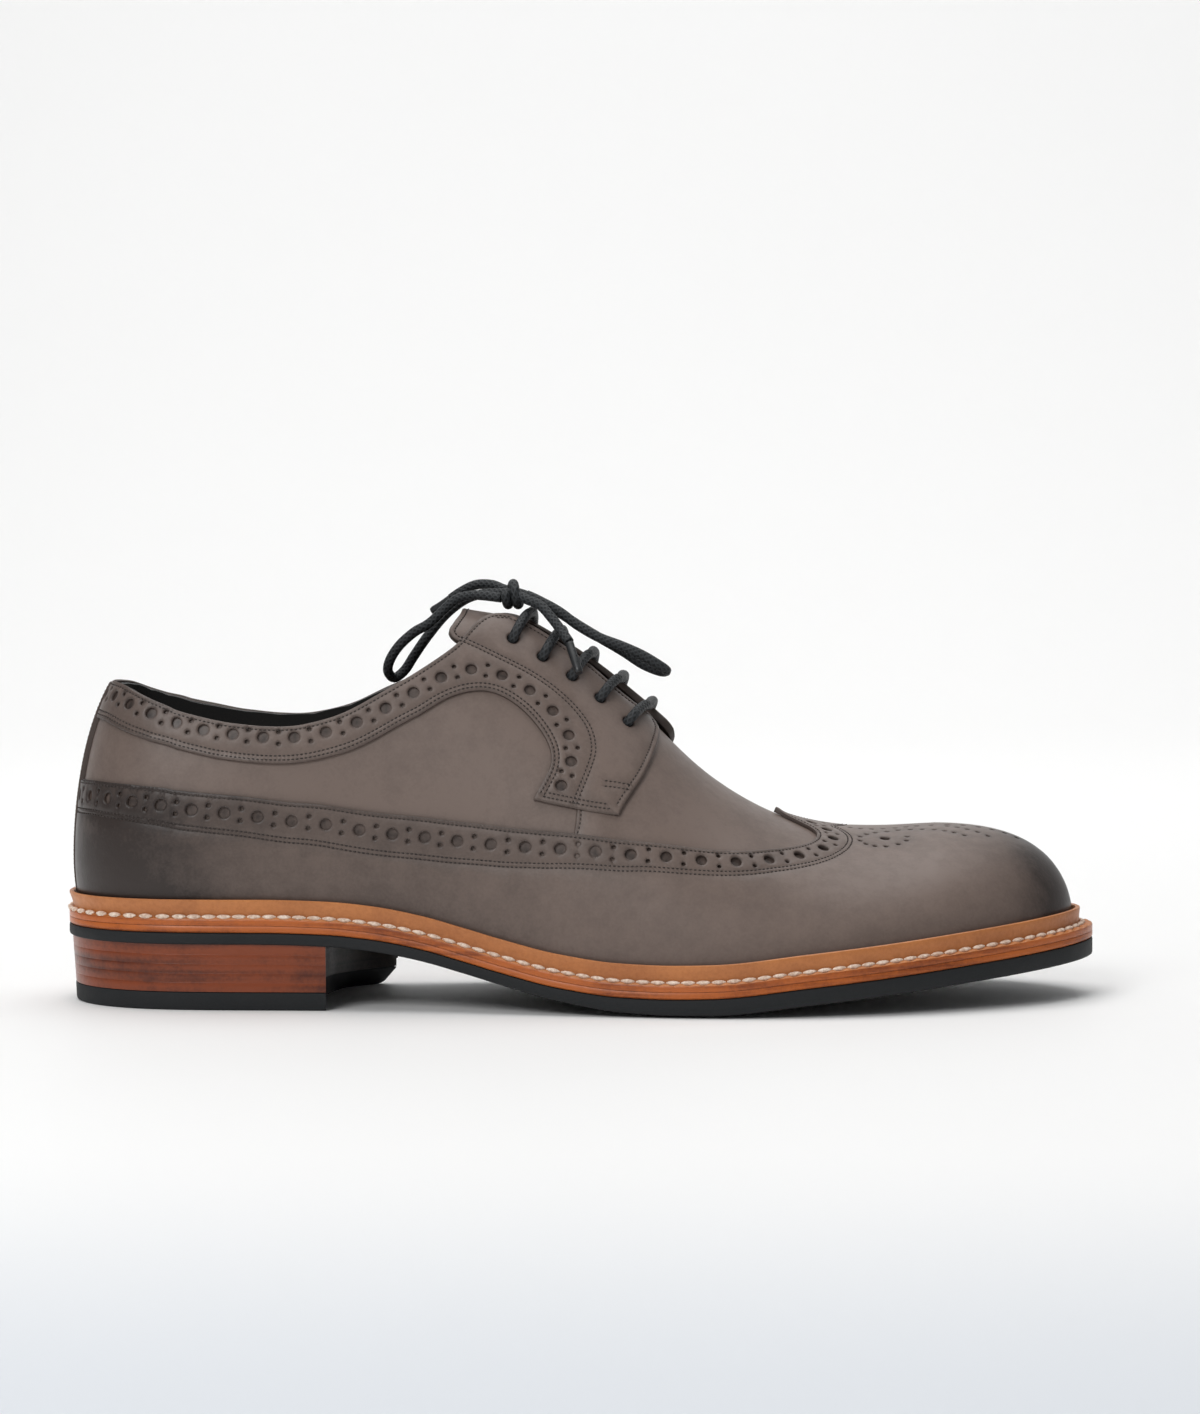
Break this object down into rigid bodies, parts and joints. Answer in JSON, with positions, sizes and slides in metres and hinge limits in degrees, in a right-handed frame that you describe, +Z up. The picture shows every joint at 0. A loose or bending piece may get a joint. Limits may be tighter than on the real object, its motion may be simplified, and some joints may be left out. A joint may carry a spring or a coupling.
{
  "type": "longwing brogue shoe",
  "caption": "Low leather lace-up derby with a long wing overlay round the whole shoe, punched and stitched, on a welted sole with a stacked heel. Right shoe.",
  "frame": {"origin": "bottom centre of the shoe's box without the loose lace, on the floor plane", "axes": "+X to the toe, +Y to the medial side, +Z up; the lateral side faces -Y"},
  "size_m": [0.3082, 0.1108, 0.1253],
  "materials": {
    "upper_leather": "smooth taupe calf, soft shine, burnished darker at toe and heel",
    "tongue_leather": "smooth taupe calf",
    "insole_leather": "natural leather",
    "welt_leather": "orange tan, stitched, satin",
    "midsole_leather": "reddish brown edge, waxed",
    "heel_leather": "stacked, brown, waxed edge with fine lines",
    "sole_rubber": "matt black",
    "lace_cord": "round waxed black cord",
    "lace_tip": "black tip"
  },
  "bodies": {
    "root": {"upper": "upper_leather", "tongue": "tongue_leather", "insole": "insole_leather", "welt": "welt_leather", "midsole": "midsole_leather", "outsole": "sole_rubber", "heel_stack": "heel_leather", "top_piece": "sole_rubber", "lace_bar_1": "lace_cord", "lace_bar_2": "lace_cord", "lace_bar_3": "lace_cord", "lace_bar_4": "lace_cord", "lace_bar_5": "lace_cord", "lace_knot": "lace_cord", "lace_loop_front": "lace_cord", "lace_loop_back": "lace_cord", "lace_end_front": "lace_cord", "lace_end_back": "lace_cord", "aglet_front": "lace_tip", "aglet_back": "lace_tip"}
  },
  "joints": []
}
